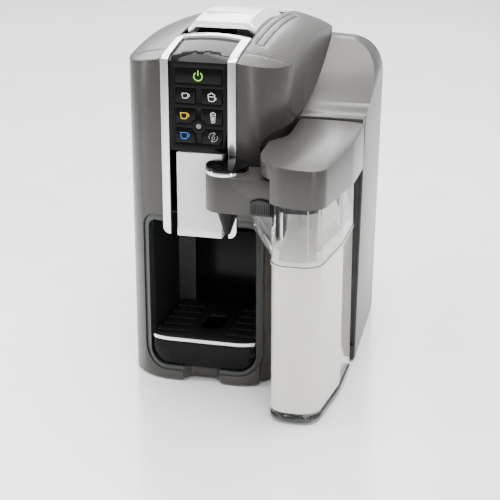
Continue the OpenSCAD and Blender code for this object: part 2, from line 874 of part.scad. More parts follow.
module drip_grate() {
    hole_y = y_f + 45;
    color("#1f1f1f") difference() {
        translate([0, 0, tray_h - grate_t]) linear_extrude(grate_t) difference() {
            tray_plan(2.8, tray_back - 0.4);
        }
        translate([0, 0, -1]) linear_extrude(far) {
            round_rect(px - 9.5, px + 9.5, hole_y - 15, hole_y + 15, 5);
            for (s = [-1, 1], i = [0:4])
                round_rect(px + s * 30 - 14, px + s * 30 + 14,
                           hole_y - 29 + i * 14, hole_y - 25 + i * 14, 1.9);
        }
        translate([0, 0, tray_h - grate_t - 1]) linear_extrude(1.6)
            tray_plan(5, tray_back - 3);
    }
}

module capsule_bin() {
    w = bin_w / 2;
    y0 = tray_back + 0.3;
    color("#202020") difference() {
        box(px - w, px + w, y0, bin_back, tray_z, bin_h);
        box(px - w + tray_wall, px + w - tray_wall, y0 + tray_wall, bin_back - tray_wall,
            tray_z + tray_wall, bin_h + 1);
    }
}

// ---- carafe dock ----

module dock_panel() {
    color("#1e1e1f") difference() {
        intersection() {
            right_wall(wall_front_y, wall + 0.3);
            box(x_r - nest - wall + 3 + gap, far, wall_front_y + gap, wall_front_y + 3,
                15.4, shelf_h - shelf_lip - gap);
        }
        rod_y(port_x, -far, far, port_z, port_r + 0.05);
        for (i = [0:2]) box(port_x - 18, port_x + 18, -far, wall_front_y + 1,
                            60 + i * 40, 62 + i * 40);
    }
}

module steam_port() {
    color("#3a3a3c") difference() {
        union() {
            rod_y(port_x, lid_y1 + 0.4, wall_front_y + 22, port_z, port_r);
            rod_y(port_x, wall_front_y + 3.2, wall_front_y + 6, port_z, port_r + 4);
        }
        rod_y(port_x, -far, far, port_z, 2);
        rod_y(port_x, -far, lid_y1 + 3, port_z, 4.5);
    }
}

// ---- milk carafe ----

// the jug narrows towards its front right corner
module jug_plan(g) {
    y0 = lid_y0 + 4.5 + g;
    y1 = lid_y1 - 1.5 - g;
    polygon(rounded([
        [carafe_x + g, y1, 8 - g / 2], [carafe_x + g, y0, 15 - g / 2],
        [jug_r_x - 7.5 - g, y0, 16 - g / 2], [jug_r_x - g, y0 + 66, 70],
        [jug_r_x - g, y1, 8 - g / 2]], 12));
}

waist_z = jug_bottom + 134;
flare = 19;                      // how far the jug's mouth reaches under the arm

module jug_flare(g, z1) {
    x0 = carafe_x - flare;
    intersection() {
        along_y(arm_y - 14 + g, arm_y + 14 - g) polygon([
            [carafe_x + 12, waist_z - 12], [carafe_x + g - 0.2, waist_z - 4],
            [x0 + g + 3, arm_bottom - 12], [x0 + g, arm_bottom - 1], [x0 + g, z1],
            [carafe_x + 12, z1]]);
        box(-far, far, -far, far, 0, far);
    }
}

module milk_jug() {
    floor_z = jug_bottom + 4;
    color("#dfe8ea", 0.45) difference() {
        union() {
            translate([0, 0, floor_z]) linear_extrude(jug_top - floor_z) jug_plan(0);
            jug_flare(0, arm_bottom - 0.6);
            translate([0, 0, waist_z - 2]) linear_extrude(3) jug_plan(-0.8);
        }
        translate([0, 0, floor_z + 2.5]) linear_extrude(far) jug_plan(jug_wall);
        jug_flare(jug_wall, arm_bottom + 5);
    }
}

module jug_base() {
    color("#8f9496") difference() {
        translate([0, 0, jug_bottom]) linear_extrude(3.8) jug_plan(-0.5);
        translate([0, 0, jug_bottom - 1]) linear_extrude(2.5) jug_plan(5);
    }
}

module lid_plan(g) {
    polygon(rounded([
        [x_r + 1.8 + g, lid_y1 - g, 3], [x_r + 1.8 + g, y_f + 17, 22], [x_r - 11 + g, y_f + 3, 4],
        [x_r - 11 + g, lid_y0 + g, 40 - g], [lid_r_x - 11 - g, lid_y0 + g, 14 - g],
        [lid_r_x - g, lid_y0 + 76, 90], [lid_r_x - g, lid_y1 - g, 6]], 12));
}

// domed and sloping top of the lid
module lid_top(g) {
    slope = 3.2;
    crown_r = 700;
    translate([port_x - 6, lid_y0, lid_front_h - g]) rotate([slope, 0, 0])
        translate([0, -30, -crown_r]) rotate([-90, 0, 0])
        cylinder(r = crown_r, h = 240, $fn = 180);
}

module lid_form(g) {
    intersection() {
        translate([0, 0, lid_bottom - (g > 0 ? 5 : 0)]) linear_extrude(80) lid_plan(g);
        lid_top(g);
    }
}

module milk_lid() {
    color("#8a8582") difference() {
        lid_form(0);
        difference() {
            lid_form(2.2);
            box(-far, arm_seam + 2.2, -far, y_f + 4, 0, arm_under + 2.2);
        }
        box(-far, arm_seam, -far, y_f - 1, 0, arm_under);
        box(-far, arm_seam, -far, y_f + 2, 0, arm_under);
        rod_y(port_x, lid_y1 - 5, lid_y1 + 5, port_z, 2.5);
    }
}

module lid_plate() {
    color("#2b2b2d") difference() {
        translate([0, 0, lid_bottom + 0.2]) linear_extrude(2.4) difference() {
            lid_plan(2.5);
            translate([-far, -far]) square([far + arm_seam + 2.6, far + y_f + 5]);
        }
        rod_z(tube_top[0], tube_top[1], 0, far, 4.2);
    }
    color("#2b2b2d") difference() {
        translate([0, 0, jug_top - 6]) linear_extrude(6.4) difference() {
            jug_plan(jug_wall + 0.6);
            jug_plan(jug_wall + 3);
            translate([-far, -far]) square([far + arm_seam + 3, far + y_f + 5]);
        }
    }
    color("#2b2b2d") translate([0, 0, jug_top + 0.3]) linear_extrude(0.5) difference() {
        jug_plan(jug_wall + 0.6);
        jug_plan(jug_wall + 3);
        translate([-far, -far]) square([far + arm_seam + 3, far + y_f + 5]);
    }
}

module arm_plan(g) {
    translate([arm_x, arm_y]) circle(r = arm_r - g);
    translate([arm_x, arm_y - arm_r + g]) square([arm_seam - 0.2 - g - arm_x, 2 * (arm_r - g)]);
}

module spout_arm() {
    color("#8a8582") difference() {
        translate([0, 0, arm_bottom]) linear_extrude(arm_top - arm_bottom) arm_plan(0);
        translate([0, 0, arm_bottom + 3]) linear_extrude(arm_top - arm_bottom - 5)
            arm_plan(2.2);
        rod_z(arm_x, arm_y, arm_bottom + 3, far, arm_r - 2.2);
        rod_z(arm_x, arm_y, 0, far, 4.05);
        rod_x(arm_seam - 6, arm_seam + 3, arm_y, arm_top - 10, 3);
        tab_cut(0.4);
    }
}

tab_w = 16.5;
tab_h = 14;
tab_x = arm_seam - 10.5;

module tab_face(g) {
    translate([tab_x - tab_w / 2 - g, arm_bottom + 1.2 - g]) square([tab_w + 2 * g, tab_h - 5 + g]);
    intersection() {
        translate([tab_x, arm_bottom + 1.2 + tab_h - 15]) circle(r = 14 + g);
        translate([tab_x - tab_w / 2 - g, arm_bottom + 1.2]) square([tab_w + 2 * g, 30]);
    }
}

module tab_cut(g) {
    along_y(arm_y - arm_r - 5, arm_y - arm_r + 5) tab_face(g);
}

module release_tab() {
    y0 = arm_y - arm_r;
    color("#151515") difference() {
        along_y(y0 - 2, y0 + 1.8) tab_face(0);
        for (i = [-4:4]) box(tab_x + i * 1.8 - 0.4, tab_x + i * 1.8 + 0.4, y0 - 3, y0 - 1.2,
                             arm_bottom + 2.5, arm_bottom + 10.5);
    }
}

module cap_ring() {
    color("#e4e4e6") difference() {
        rod_z(arm_x, arm_y, arm_top + 0.1, arm_top + 3.4, arm_r + 0.2);
        rod_z(arm_x, arm_y, 0, far, arm_r - 2);
    }
}

module milk_cap() {
    color("#171717") union() {
        rod_z(arm_x, arm_y, arm_top + 3.5, arm_top + 6.5, arm_r);
        difference() {
            rod_z(arm_x, arm_y, arm_top - 8, arm_top + 4, arm_r - 2.35);
            rod_z(arm_x, arm_y, arm_top - 9, arm_top + 2, arm_r - 4.5);
        }
    }
}

module milk_nozzle() {
    color("#241d1a") difference() {
        union() {
            rod_z(arm_x, arm_y, arm_bottom - 4, arm_bottom - 0.1, 9.5);
            translate([arm_x, arm_y, arm_bottom - 23]) cylinder(r1 = 2.4, r2 = 8.6, h = 19.1);
            rod_z(arm_x, arm_y, arm_bottom - 1, arm_bottom + 4, 4);
        }
        rod_z(arm_x, arm_y, 0, far, 1.6);
        translate([arm_x, arm_y, arm_bottom - 18]) cylinder(r1 = 1.6, r2 = 6.5, h = 16);
    }
}

tube_top = [carafe_x + 12, arm_y + 4];
tube_end = [jug_r_x - 8, lid_y1 - 22];

module suction_tube() {
    z1 = jug_top - 16;
    z0 = jug_bottom + 12;
    run = [tube_end[0] - tube_top[0], tube_end[1] - tube_top[1]];
    tilt = atan(norm(run) / (z1 - z0));
    color("#e9edee", 0.7) translate([tube_top[0], tube_top[1], z1])
        rotate([0, 0, atan2(run[1], run[0])]) rotate([0, 180 - tilt, 0]) difference() {
            cylinder(r = 3.1, h = (z1 - z0) / cos(tilt));
            translate([0, 0, -1]) cylinder(r = 2.1, h = far);
        }
}

module tube_connector() {
    color("#1b1b1b") difference() {
        rod_z(tube_top[0], tube_top[1], jug_top - 14.4, lid_bottom + 8, 4.1);
        rod_z(tube_top[0], tube_top[1], 0, far, 2);
    }
}

// ---- water tank ----

module tank_plan(g) {
    round_rect(tank_x0 + g, tank_x1 - g, tank_y0 + g, tank_y1 - g, 14 - g);
}

module water_tank() {
    z0 = dock_h + 0.4;
    color("#b9c8cc", 0.5) difference() {
        union() {
            difference() {
                translate([0, 0, z0]) linear_extrude(tank_h - z0) tank_plan(0);
                translate([0, 0, z0 + 2.5]) linear_extrude(far) tank_plan(tank_wall);
                rod_x(-far, far, hinge_y, hinge_z, lid_tail_r); // room for the lid's rear edge
            }
            translate([0, 0, tank_h - 2]) linear_extrude(5.3) intersection() {
                tank_plan(0);
                translate([-far, strip_y]) square([2 * far, far]);
            }
            for (x = hinge_x) along_x(x, x + ear_w) {
                translate([hinge_y, hinge_z]) circle(r = hinge_r);
                translate([hinge_y, tank_h - 2]) square([strip_y - hinge_y + 1, 5.3]);
            }
        }
        rod_z(valve_x, valve_y, 0, z0 + 10, 7.05);
        for (x = hinge_x) rod_x(x - 1, x + ear_w + 1, hinge_y, hinge_z, 1);
    }
}

module tank_valve() {
    z0 = dock_h + 0.4;
    color("#d8d8d6") difference() {
        union() {
            rod_z(valve_x, valve_y, z0 - 5, z0 + 9, 7);
            rod_z(valve_x, valve_y, z0 + 2.7, z0 + 5, 11);
        }
        rod_z(valve_x, valve_y, z0 - 6, z0 + 6, 4);
        rod_x(valve_x - 10, valve_x + 10, valve_y, z0 + 7, 1.5);
    }
}

module tank_lid() {
    z0 = tank_h + gap;
    color("#6f6c6a") difference() {
        union() {
            translate([0, 0, z0]) linear_extrude(3) intersection() {
                tank_plan(0);
                translate([-far, -far]) square([2 * far, far + hinge_y + lid_tail]);
            }
            for (x = hinge_x) rod_x(x - 6, x + ear_w + 6, hinge_y, hinge_z, hinge_r);
        }
        for (x = hinge_x) {
            box(x - 0.4, x + ear_w + 0.4, hinge_y - 3.2, far, tank_h - 5, far);
            rod_x(x - 7, x + ear_w + 7, hinge_y, hinge_z, 1 + pin_fit);
        }
        translate([0, 0, z0 + 2]) linear_extrude(2)
            round_rect(valve_x - 22, valve_x + 22, tank_y0 + 6, tank_y0 + 22, 7);
    }
}

module tank_pin() {
    color("#b8b8ba") for (x = hinge_x) rod_x(x - 5, x + ear_w + 5, hinge_y, hinge_z, 1);
}

module tank_dock() {
    color("#262626") difference() {
        translate([0, 0, shell_z - 0.5]) linear_extrude(dock_h - shell_z + 0.5) intersection() {
            tank_plan(0.6);
            translate([-far, y_r + 0.4]) square([2 * far, far]);
        }
        rod_z(valve_x, valve_y, dock_h - 6, far, 7.4);
        translate([0, 0, -1]) linear_extrude(dock_h - 2.5 + 1) difference() {
            tank_plan(3.2);
            translate([valve_x, valve_y]) circle(r = 11);
            translate([valve_x - 6, tank_y0]) square([12, valve_y - tank_y0]);
        }
        rod_y(valve_x, 0, valve_y, dock_h - 8, 2);
    }
}

// ---- water circuit, in the right side of the casing ----

pump_x = port_x - 1;
pump_z = 40;

module pump() {
    y0 = y_f + 100;
    color("#9a9a9c") difference() {
        union() {
            rod_y(pump_x, y0, y0 + 22, pump_z, 9);
            box(pump_x - 17, pump_x + 17, y0 + 21, y0 + 55, pump_z - 17, pump_z + 17);
            rod_y(pump_x, y0 + 54, y0 + 74, pump_z, 8);
        }
        rod_y(pump_x, y0 - 1, y0 + 12, pump_z, 3.03);
        rod_y(pump_x, y0 + 64, y0 + 80, pump_z, 3.03);
    }
}

module pump_mounts() {
    y0 = y_f + 100;
    color("#1a1a1a") for (y = [y0 + 8, y0 + 58]) difference() {
        union() {
            rod_y(pump_x, y, y + 8, pump_z, 14);
            box(pump_x - 12, pump_x + 12, y, y + 8, shell_z + 4.8, pump_z);
        }
        rod_y(pump_x, y - 1, y + 9, pump_z, y == y0 + 8 ? 9 : 8);
    }
}

module thermoblock() {
    y0 = y_f + 104;
    color("#a9a9ab") difference() {
        union() {
            box(port_x - 16, port_x + 16, y0, y0 + 58, 112, 178);
            for (i = [0:6]) box(port_x - 19, port_x + 19, y0 + 4 + i * 8, y0 + 6 + i * 8, 114, 176);
        }
        rod_y(port_x, y0 - 1, y0 + 12, 165, 3.03);
        rod_z(port_x, y0 + 48, 100, 126, 3.03);
    }
}

module flow_meter() {
    color("#e2e2dd") difference() {
        union() {
            rod_z(port_x, y_f + 152, 74, 90, 15);
            rod_z(port_x, y_f + 152, 89, 100, 5);
            rod_z(port_x, y_f + 152, 64, 75, 5);
        }
        rod_z(port_x, y_f + 152, 93, 101, 3.03);
        rod_z(port_x, y_f + 152, 63, 70, 3.03);
    }
}

module steam_valve() {
    color("#c9b37a") difference() {
        union() {
            box(port_x - 11, port_x + 11, wall_front_y + 22.4, wall_front_y + 44,
                port_z - 12, port_z + 8);
            rod_z(port_x, wall_front_y + 33, port_z - 21, port_z - 11, 9);
        }
        rod_y(port_x, wall_front_y + 20, wall_front_y + 34, port_z, 2);
    }
}

module water_tubes() {
    color("#e8e8e4") {
        rod_z(port_x, y_f + 152, 93.2, 125.8, 3);
        difference() {
            rod_y(port_x, y_f + 88, y_f + 115.8, 165, 3);
            rod_y(port_x, y_f + 80, y_f + 117, 165, 1.6);
        }
        rod_y(pump_x, y_f + 164.2, y_f + 186, pump_z, 3);
    }
}

module power_inlet() {
    color("#101010") difference() {
        union() {
            along_y(y_r - 16, y_r) round_rect(inlet_x - 13.8, inlet_x + 13.8,
                                              inlet_z - 9.8, inlet_z + 9.8, 3);
            along_y(y_r - 22, y_r - 15) round_rect(inlet_x - 10, inlet_x + 10,
                                                   inlet_z - 6, inlet_z + 6, 2);
        }
        along_y(y_r - 15, y_r + 1) polygon(rounded([
            [inlet_x - 12, inlet_z - 8, 2], [inlet_x + 12, inlet_z - 8, 2],
            [inlet_x + 12, inlet_z + 2, 2], [inlet_x + 6, inlet_z + 8, 2],
            [inlet_x - 6, inlet_z + 8, 2], [inlet_x - 12, inlet_z + 2, 2]], 5));
    }
    color("#c9a64b") for (i = [-1:1])
        box(inlet_x + i * 7 - 1, inlet_x + i * 7 + 1, y_r - 15.1, y_r - 4,
            inlet_z - 2 + (i == 0 ? 2 : 0) - 2, inlet_z + (i == 0 ? 2 : 0));
}

module screws() {
    color("#b0b0b2") for (p = screw_points) difference() {
        union() {
            rod_y(p[0], y_r - 9, y_r - 1.2, p[1], 1.5);
            rod_y(p[0], y_r - 1.3, y_r - 0.2, p[1], 3);
        }
        box(p[0] - 2, p[0] + 2, y_r - 0.8, y_r + 1, p[1] - 0.4, p[1] + 0.4);
        box(p[0] - 0.4, p[0] + 0.4, y_r - 0.8, y_r + 1, p[1] - 2, p[1] + 2);
    }
}

front_shell();
left_shell();
right_shell();
rear_cover();
base_plate();
feet();
chassis();
cavity_bezel();
cavity_liner();
chrome_frame();
control_panel();
button_power();
button_espresso();
button_cappuccino();
button_coffee();
button_latte();
button_lungo();
button_clean();
status_led();
control_board();
spout_cover();
coffee_spout();
lever();
lever_grip();
lever_pin();
lever_well();
top_cover();
brew_frame();
capsule_holder();
brew_piston();
drip_tray();
tray_trim();
drip_grate();
capsule_bin();
dock_panel();
steam_port();
milk_jug();
jug_base();
milk_lid();
lid_plate();
spout_arm();
milk_cap();
cap_ring();
milk_nozzle();
suction_tube();
tube_connector();
release_tab();
water_tank();
tank_lid();
tank_pin();
tank_dock();
tank_valve();
pump();
pump_mounts();
thermoblock();
flow_meter();
steam_valve();
water_tubes();
power_inlet();
screws();
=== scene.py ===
# Pod coffee machine with a slide-in milk carafe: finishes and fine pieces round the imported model.
import json
import math

import bmesh
import bpy
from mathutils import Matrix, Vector


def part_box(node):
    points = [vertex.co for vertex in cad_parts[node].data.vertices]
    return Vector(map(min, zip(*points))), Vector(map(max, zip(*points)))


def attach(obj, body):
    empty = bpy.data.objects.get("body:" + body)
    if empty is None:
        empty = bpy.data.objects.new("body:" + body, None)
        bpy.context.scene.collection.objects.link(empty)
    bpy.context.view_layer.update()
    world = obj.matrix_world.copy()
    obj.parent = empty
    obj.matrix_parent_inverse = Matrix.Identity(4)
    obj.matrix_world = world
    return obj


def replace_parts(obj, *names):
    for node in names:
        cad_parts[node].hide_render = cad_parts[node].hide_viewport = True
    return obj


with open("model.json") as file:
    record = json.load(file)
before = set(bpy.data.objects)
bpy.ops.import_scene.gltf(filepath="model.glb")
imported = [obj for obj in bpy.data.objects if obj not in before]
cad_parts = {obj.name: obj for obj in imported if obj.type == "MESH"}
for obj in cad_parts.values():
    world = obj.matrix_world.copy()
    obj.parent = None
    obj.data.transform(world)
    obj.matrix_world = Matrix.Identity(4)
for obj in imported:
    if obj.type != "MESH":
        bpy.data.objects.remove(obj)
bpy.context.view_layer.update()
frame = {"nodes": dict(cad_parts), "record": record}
cadNodes = frame["nodes"]
mm = 0.001
print("stage: frame loaded,", len(cadNodes), "nodes")


# small helpers
def linearColor(hexColor):
    parts = [int(hexColor[i:i + 2], 16) / 255 for i in (0, 2, 4)]
    return [c / 12.92 if c <= 0.04045 else ((c + 0.055) / 1.055) ** 2.4 for c in parts] + [1.0]


def addNode(tree, kind, inputs=None, **settings):
    node = tree.nodes.new(kind)
    for name, value in settings.items():
        setattr(node, name, value)
    for name, value in (inputs or {}).items():
        if isinstance(value, bpy.types.NodeSocket):
            tree.links.new(value, node.inputs[name])
        else:
            node.inputs[name].default_value = value
    return node


def makeFinish(name, light, dark, rough, spread=0.05, mottle="grain", grain=0.5, stretch=(1, 1, 1),
               grainBump=0.004, wave=9.0, waveBump=0.01, **sockets):
    # one finish: two shades mixed by a fine grain or a broad cloud, its shine and two bumps;
    # grain, wave and both bumps are in mm
    material = bpy.data.materials.new(name)
    material.use_nodes = True
    tree = material.node_tree
    tree.nodes.clear()
    place = addNode(tree, "ShaderNodeTexCoord").outputs["Object"]
    along = addNode(tree, "ShaderNodeMapping", {"Vector": place, "Scale": stretch}).outputs["Vector"]
    fine = addNode(tree, "ShaderNodeTexNoise", {
        "Vector": along, "Scale": 1 / (grain * mm), "Detail": 2.0}).outputs["Fac"]
    broad = addNode(tree, "ShaderNodeTexNoise", {
        "Vector": place, "Scale": 1 / (wave * mm), "Detail": 2.0}).outputs["Fac"]
    chosen = fine if mottle == "grain" else broad
    share = addNode(tree, "ShaderNodeMapRange", {
        "Value": chosen, "From Min": 0.3, "From Max": 0.7}).outputs["Result"]
    shade = addNode(tree, "ShaderNodeValToRGB", {"Fac": share})
    shade.color_ramp.elements[0].color = linearColor(dark)
    shade.color_ramp.elements[1].color = linearColor(light)
    shine = addNode(tree, "ShaderNodeMapRange", {
        "Value": chosen, "From Min": 0.3, "From Max": 0.7,
        "To Min": rough, "To Max": rough + spread}).outputs["Result"]
    soft = addNode(tree, "ShaderNodeBump", {"Height": broad, "Distance": waveBump * mm})
    bump = addNode(tree, "ShaderNodeBump", {
        "Height": fine, "Distance": grainBump * mm, "Normal": soft.outputs["Normal"]})
    shader = addNode(tree, "ShaderNodeBsdfPrincipled", {
        "Base Color": shade.outputs["Color"], "Roughness": shine, "Normal": bump.outputs["Normal"]})
    for socket, value in sockets.items():
        shader.inputs[socket.replace("_", " ")].default_value = value
    addNode(tree, "ShaderNodeOutputMaterial", {"Surface": shader.outputs["BSDF"]})
    return material


lacquer = {"rough": 0.27, "spread": 0.06, "grain": 0.6, "grainBump": 0.003, "wave": 3.5,
           "waveBump": 0.01, "Metallic": 0.3, "Coat_Weight": 0.05, "Coat_Roughness": 0.1,
           "Specular_IOR_Level": 0.2}
gloss = {"rough": 0.05, "spread": 0.06, "mottle": "wave", "wave": 14.0, "Specular_IOR_Level": 0.12}
plated = {"grain": 0.3, "grainBump": 0.003, "Metallic": 1.0}
clear = {"mottle": "wave", "wave": 60.0, "waveBump": 0.012, "spread": 0.02, "IOR": 1.45,
         "grain": 22.0, "grainBump": 0.003,
         "Transmission_Weight": 1.0}
ink = {"rough": 0.4, "grain": 0.3, "grainBump": 0.006}
lacquerHexes = ("4b4946", "413f3c")

finishes = {name: makeFinish(name, **values) for name, values in {
    # two-coat metallic lacquer on ABS: satin, with fine flake and orange peel
    "warmGreyLacquer": dict(lacquer, light=lacquerHexes[0], dark=lacquerHexes[1]),
    "silverLacquer": dict(lacquer, light="f4f4f5", dark="e8e9ea"),
    # moulded ABS with a spark-eroded texture
    "texturedBlackAbs": dict(light="1b1b1c", dark="131314", rough=0.42, grainBump=0.03, spread=0.12),
    "darkGreyAbs": dict(light="343837", dark="2a2d2c", rough=0.34, grainBump=0.018, spread=0.1),
    "greyLidAbs": dict(light="6a6764", dark="5d5a57", rough=0.36, grainBump=0.025, spread=0.1),
    # polished black ABS with faint wiping marks
    "pianoBlackAbs": dict(gloss, light="0b0a0b", dark="070607"),
    "smoothBlackAbs": dict(gloss, light="0e0e0f", dark="0a0a0b", rough=0.16),
    # chrome plating on ABS: satin with short brush lines, or bright
    "satinChrome": dict(plated, light="f4f4f6", dark="e6e6e9", rough=0.16, stretch=(1, 1, 0.03)),
    "brightChrome": dict(plated, light="f0f0f2", dark="e6e7ea", rough=0.04, grain=1.2),
    # rolled and brushed steel, zinc-plated steel, cast aluminium and turned brass
    "brushedSteel": dict(plated, light="dedfe1", dark="cccdd0", rough=0.2, stretch=(0.02, 1, 1)),
    "zincPlatedSteel": dict(plated, light="c4c5c8", dark="adaeb2", rough=0.25),
    "castAluminium": dict(plated, light="adaeb0", dark="9d9ea1", rough=0.4, grain=0.7, grainBump=0.05),
    "machinedBrass": dict(plated, light="d4b470", dark="c4a45f", rough=0.2, stretch=(1, 1, 0.03)),
    # clear and smoked SAN with slow flow ripples from the mould
    "clearSan": dict(clear, light="fafcfc", dark="f2f6f6", rough=0.01),
    "smokedSan": dict(clear, light="c9d1d3", dark="bcc6c8", rough=0.04),
    "smokeRim": dict(clear, light="868b8c", dark="777d7e", rough=0.06),
    # nitrile rubber with a matt skin
    "nitrileRubber": dict(light="222223", dark="181819", rough=0.65, grain=0.8, grainBump=0.04),
    # unfilled nylon, slightly cloudy
    "naturalNylon": dict(light="dededa", dark="cfcfc8", rough=0.42, mottle="wave", grainBump=0.015),
    # green solder mask over copper tracks
    "solderMask": dict(light="1f6331", dark="184f27", rough=0.22, grain=1.5, grainBump=0.03),
    # frosted polycarbonate lens
    "frostedLens": dict(light="7c7c7a", dark="686867", rough=0.28, grain=0.3, grainBump=0.015),
    # back-lit printing ink
    "greenInk": dict(ink, light="96e841", dark="86d636", Emission_Color=linearColor("8fe03a"),
                     Emission_Strength=0.8),
    "whiteInk": dict(ink, light="f4f6f6", dark="e8eaea", Emission_Color=linearColor("f2f4f4"),
                     Emission_Strength=0.3),
    "yellowInk": dict(ink, light="f5c400", dark="eab800", Emission_Color=linearColor("f5c400"),
                      Emission_Strength=0.3),
    "blueInk": dict(ink, light="0c6fc4", dark="0962b0", Emission_Color=linearColor("0c6fc4"),
                    Emission_Strength=0.35),
    "greyInk": dict(ink, light="b0b2b2", dark="a0a2a2"),
    # whole milk, which scatters light under its skin; its emission is a painted glow that stands in for
    # the light the clear jug keeps from reaching it
    "wholeMilk": dict(light="fbf6ee", dark="f3ebe0", rough=0.22, mottle="wave", wave=30.0, waveBump=0.2,
                      Emission_Color=linearColor("fbf6ee"), Emission_Strength=0.3,
                      Subsurface_Weight=0.3, Subsurface_Radius=(0.006, 0.004, 0.003),
                      Subsurface_Scale=1.0),
    # satin white tabletop
    "paleTabletop": dict(light="fafafa", dark="f5f5f5", rough=0.16, wave=60.0, waveBump=0.02,
                         grain=4.0, mottle="wave"),
}.items()}
print("stage: finishes made,", len(finishes))

nodeFinish = {
    "warmGreyLacquer": ["front_shell", "left_shell", "right_shell", "milk_lid", "spout_arm"],
    "silverLacquer": ["spout_cover", "lever", "top_cover"],
    "texturedBlackAbs": ["rear_cover", "base_plate", "chassis", "cavity_liner", "lever_well",
                         "brew_frame", "drip_grate", "dock_panel", "lid_plate", "tank_dock",
                         "coffee_spout", "tube_connector", "power_inlet", "release_tab"],
    "darkGreyAbs": ["cavity_bezel"],
    "pianoBlackAbs": ["control_panel", "milk_cap", "button_power", "button_espresso",
                      "button_cappuccino", "button_coffee", "button_latte", "button_lungo",
                      "button_clean"],
    "smoothBlackAbs": ["drip_tray", "capsule_bin", "milk_nozzle", "steam_port"],
    "satinChrome": ["chrome_frame", "tray_trim"],
    "brightChrome": ["cap_ring"],
    "brushedSteel": ["lever_grip"],
    "zincPlatedSteel": ["lever_pin", "tank_pin", "screws", "pump"],
    "castAluminium": ["capsule_holder", "brew_piston", "thermoblock"],
    "machinedBrass": ["steam_valve"],
    "clearSan": ["milk_jug", "suction_tube"],
    "smokedSan": ["water_tank"],
    "smokeRim": ["jug_base"],
    "nitrileRubber": ["feet", "pump_mounts"],
    "naturalNylon": ["flow_meter", "water_tubes", "tank_valve"],
    "greyLidAbs": ["tank_lid"],
    "solderMask": ["control_board"],
    "frostedLens": ["status_led"],
}
finishOf = {name: finish for finish, names in nodeFinish.items() for name in names}
bodyOf = {name: body for body, names in frame["record"]["behaviour"]["bodies"].items()
          for name in names}
for name, node in cadNodes.items():
    node.data.materials.clear()
    node.data.materials.append(finishes[finishOf[name]])


# edges: a bevel in mm asked for on each part's sharp edges; it is clamped to the narrowest face it
# meets, so on finely divided parts, such as the lever and the right shell, it comes to nothing
sharpEdge = {"mergeMm": 0.002, "flatDegrees": 0.6, "bevelDegrees": 28, "shadeDegrees": 30}
edgeRadii = {
    "front_shell": 0.5, "left_shell": 0.5, "right_shell": 0.9, "top_cover": 0.5,
    "milk_lid": 1.6, "spout_arm": 1.0, "spout_cover": 0.7, "lever": 0.7, "lever_grip": 0.2,
    "chrome_frame": 0.9, "tray_trim": 0.6, "cavity_bezel": 0.6, "control_panel": 0.3,
    "button_power": 0.4, "button_espresso": 0.4, "button_cappuccino": 0.4, "button_coffee": 0.4,
    "button_latte": 0.4, "button_lungo": 0.4, "button_clean": 0.4, "drip_grate": 0.35,
    "drip_tray": 0.5, "milk_cap": 0.8, "cap_ring": 0.5, "milk_nozzle": 0.3, "release_tab": 0.3,
    "jug_base": 0.8, "milk_jug": 0.5, "water_tank": 0.5, "tank_lid": 0.7, "tank_dock": 0.6,
    "rear_cover": 0.3, "dock_panel": 0.3, "capsule_bin": 0.4, "cavity_liner": 0.4,
    "power_inlet": 0.4, "lever_well": 0.4, "steam_port": 0.4, "pump": 1.0, "thermoblock": 0.6,
    "base_plate": 0.4, "feet": 0.5, "coffee_spout": 0.4,
}


def settle(mesh, name, body, finish=None):  # a mesh becomes a piece that rides on a body
    piece = bpy.data.objects.new(name, mesh)
    bpy.context.scene.collection.objects.link(piece)
    if finish:
        mesh.materials.clear()
        mesh.materials.append(finishes[finish])
    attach(piece, body)
    return piece


def roundEdges(name, radius):
    mesh = cadNodes[name].data.copy()
    shape = bmesh.new()
    shape.from_mesh(mesh)
    bmesh.ops.remove_doubles(shape, verts=shape.verts, dist=sharpEdge["mergeMm"] * mm)
    bmesh.ops.dissolve_limit(shape, angle_limit=math.radians(sharpEdge["flatDegrees"]),
                             verts=shape.verts, edges=shape.edges)
    bevelAngle = math.radians(sharpEdge["bevelDegrees"])
    edges = [e for e in shape.edges
             if len(e.link_faces) == 2 and e.calc_face_angle(0) > bevelAngle]
    bmesh.ops.bevel(shape, geom=edges, offset=radius * mm, offset_type="OFFSET", segments=2,
                    profile=0.5, affect="EDGES", clamp_overlap=True)
    bmesh.ops.triangulate(shape, faces=[f for f in shape.faces if len(f.verts) > 4])
    shape.to_mesh(mesh)
    shape.free()
    mesh.polygons.foreach_set("use_smooth", [True] * len(mesh.polygons))
    mesh.set_sharp_from_angle(angle=math.radians(sharpEdge["shadeDegrees"]))
    piece = settle(mesh, name.replace("_", " ").title().replace(" ", "") + "Soft", bodyOf[name])
    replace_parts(piece, name)


for name, radius in edgeRadii.items():
    roundEdges(name, radius)
print("stage: edges rounded on", len(edgeRadii), "parts")


# node trees for what repeats and what follows a path
def makeTree(name, sockets):  # a geometry tree, its group inputs and its output node
    tree = bpy.data.node_groups.new(name, "GeometryNodeTree")
    tree.interface.new_socket("Geometry", in_out="OUTPUT", socket_type="NodeSocketGeometry")
    for label, kind in sockets.items():
        tree.interface.new_socket(label, in_out="INPUT", socket_type="NodeSocket" + kind)
    return tree, addNode(tree, "NodeGroupInput").outputs


def endTree(tree, geometry, finish):
    real = addNode(tree, "GeometryNodeRealizeInstances", {"Geometry": geometry}).outputs["Geometry"]
    painted = addNode(tree, "GeometryNodeSetMaterial", {"Geometry": real, "Material": finish})
    addNode(tree, "NodeGroupOutput", {"Geometry": painted.outputs["Geometry"]})


